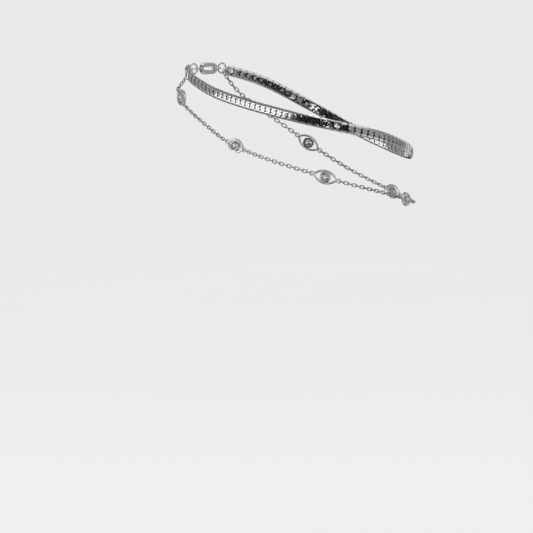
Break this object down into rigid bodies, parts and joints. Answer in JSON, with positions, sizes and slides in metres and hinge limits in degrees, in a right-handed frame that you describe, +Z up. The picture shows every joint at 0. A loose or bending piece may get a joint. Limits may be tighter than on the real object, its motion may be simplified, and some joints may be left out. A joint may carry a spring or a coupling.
{
  "type": "two-strand anklet",
  "caption": "Silver-tone anklet of a flat curb chain above a fine cable chain with open eye stations set with round crystals, on one clasp, held in its worn form.",
  "frame": {"origin": "centre of the opening that both strands go round, on its axis", "axes": "+Z up along the opening's axis, -Y towards the side with the lowest dip of both strands, the clasp at -X +Y"},
  "size_m": [0.0813, 0.0761, 0.0471],
  "materials": {
    "flat_chain_metal": "polished",
    "cable_chain_metal": "polished",
    "eye_metal": "polished",
    "clasp_metal": "polished",
    "crystal": "faceted, clear"
  },
  "bodies": {
    "root": {"curb_chain_near": "flat_chain_metal", "curb_chain_far": "flat_chain_metal", "cable_chain": "cable_chain_metal", "eye_1": "eye_metal", "eye_2": "eye_metal", "eye_3": "eye_metal", "eye_4": "eye_metal", "eye_5": "eye_metal", "eye_6": "eye_metal", "crystal_1": "crystal", "crystal_2": "crystal", "crystal_3": "crystal", "crystal_4": "crystal", "crystal_5": "crystal", "crystal_6": "crystal", "clasp": "clasp_metal", "jump_ring_near": "clasp_metal", "jump_ring_far": "clasp_metal", "catch_ring": "clasp_metal", "curb_ring_near": "clasp_metal", "curb_ring_far": "clasp_metal", "cable_ring_near": "clasp_metal", "cable_ring_far": "clasp_metal"}
  },
  "joints": []
}
